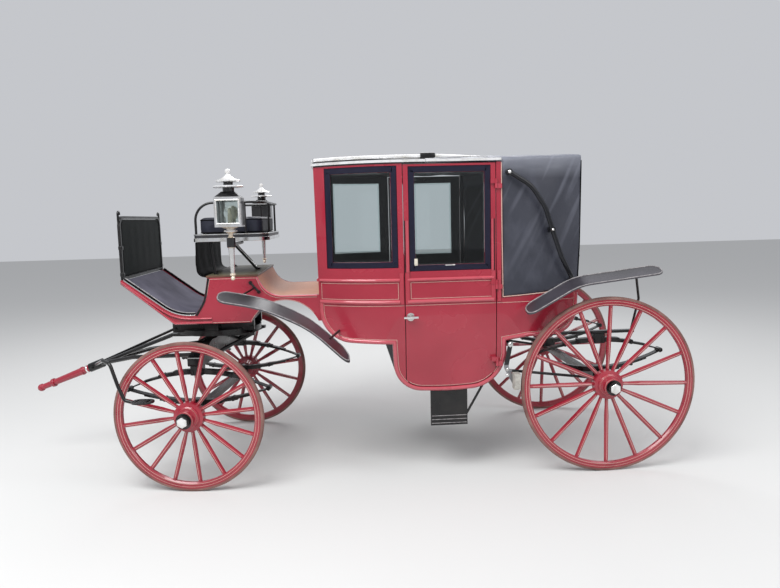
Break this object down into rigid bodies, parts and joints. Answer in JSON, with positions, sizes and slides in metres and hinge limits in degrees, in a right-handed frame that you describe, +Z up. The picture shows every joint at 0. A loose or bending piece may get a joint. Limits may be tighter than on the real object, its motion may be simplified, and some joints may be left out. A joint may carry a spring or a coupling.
{
  "type": "horse-drawn carriage",
  "caption": "Landaulet coach with a glazed front half, leather hood behind, a raised driver's box, square lamps, dished spoked wheels and a turning fore-carriage.",
  "frame": {"origin": "on the ground, at the middle of the length and width", "axes": "+X to the rear along the coach, +Y to its right-hand side, +Z up"},
  "size_m": [4.6094, 1.776, 2.1149],
  "materials": {
    "coach_paint": "deep red gloss coach paint",
    "wheel_paint": "red gloss paint with light lines",
    "tyre": "pale worn solid rubber",
    "black_iron": "black gloss enamel on forged iron",
    "pole_paint": "red gloss paint with a bright ferrule",
    "leather": "black grained leather, creased",
    "cushion": "dark navy leather",
    "cabin_trim": "buff cloth over padding",
    "floor_board": "dark painted board",
    "lid": "olive grey lid with a bright edge",
    "neck": "tan painted board",
    "silver": "silver plate, slightly dulled",
    "pane": "clear bevelled plate glass"
  },
  "bodies": {
    "coach": {"body_irons": "black_iron", "box_lid": "lid", "box_sides": "coach_paint", "brake_gear": "black_iron", "cabin_benches": "cabin_trim", "cabin_cushions": "cabin_trim", "cabin_floor": "floor_board", "dashboard": "leather", "dashboard_frame": "black_iron", "door_hinges": "silver", "drip_rails": "silver", "driver_cushion": "cushion", "driver_seat": "floor_board", "fixed_glass": "pane", "footboard": "floor_board", "front_guards": "black_iron", "front_quarters": "coach_paint", "front_wall": "coach_paint", "hood": "leather", "lamp_glass": "pane", "lamps": "silver", "landau_irons": "black_iron", "neck_board": "neck", "rear_axle": "black_iron", "rear_guards": "black_iron", "rear_quarters": "coach_paint", "rear_springs": "black_iron", "rear_wall": "coach_paint", "roof": "coach_paint", "seat_apron": "leather", "seat_box": "floor_board", "seat_irons": "black_iron", "seat_rail": "black_iron", "steps": "black_iron", "upper_ring": "black_iron"},
    "fore_carriage": {"lower_ring": "black_iron", "fore_bed": "black_iron", "front_springs": "black_iron", "front_axle": "black_iron", "pole": "pole_paint", "pole_irons": "black_iron", "driver_steps": "black_iron"},
    "left_front": {"left_front_wheel": "wheel_paint", "left_front_tyre": "tyre"},
    "right_front": {"right_front_wheel": "wheel_paint", "right_front_tyre": "tyre"},
    "left_rear": {"left_rear_wheel": "wheel_paint", "left_rear_tyre": "tyre"},
    "right_rear": {"right_rear_wheel": "wheel_paint", "right_rear_tyre": "tyre"},
    "left_door": {"left_door": "coach_paint", "left_door_glass": "pane", "left_door_handle": "silver"},
    "right_door": {"right_door": "coach_paint", "right_door_glass": "pane", "right_door_handle": "silver"}
  },
  "joints": [
    {"name": "steering", "type": "hinge", "parent": "coach", "child": "fore_carriage", "pos_m": [-0.89831, 0, 0.94], "axis": [0, 0, 1], "range_deg": [-44.87, 59.13]},
    {"name": "left_front_spin", "type": "hinge", "parent": "fore_carriage", "child": "left_front", "pos_m": [-0.98693, -0.70848, 0.483], "axis": [0.1241, 0.9923, 0], "continuous": true},
    {"name": "right_front_spin", "type": "hinge", "parent": "fore_carriage", "child": "right_front", "pos_m": [-0.80968, 0.70848, 0.483], "axis": [0.1241, 0.9923, 0], "continuous": true},
    {"name": "left_rear_spin", "type": "hinge", "parent": "coach", "child": "left_rear", "pos_m": [1.72469, -0.714, 0.58], "axis": [0, 1, 0], "continuous": true},
    {"name": "right_rear_spin", "type": "hinge", "parent": "coach", "child": "right_rear", "pos_m": [1.72469, 0.714, 0.58], "axis": [0, 1, 0], "continuous": true},
    {"name": "left_door_hinge", "type": "hinge", "parent": "coach", "child": "left_door", "pos_m": [0.99919, -0.671, 1.3], "axis": [0, 0, 1], "range_deg": [0, 85]},
    {"name": "right_door_hinge", "type": "hinge", "parent": "coach", "child": "right_door", "pos_m": [0.99919, 0.671, 1.3], "axis": [0, 0, -1], "range_deg": [0, 85]}
  ]
}
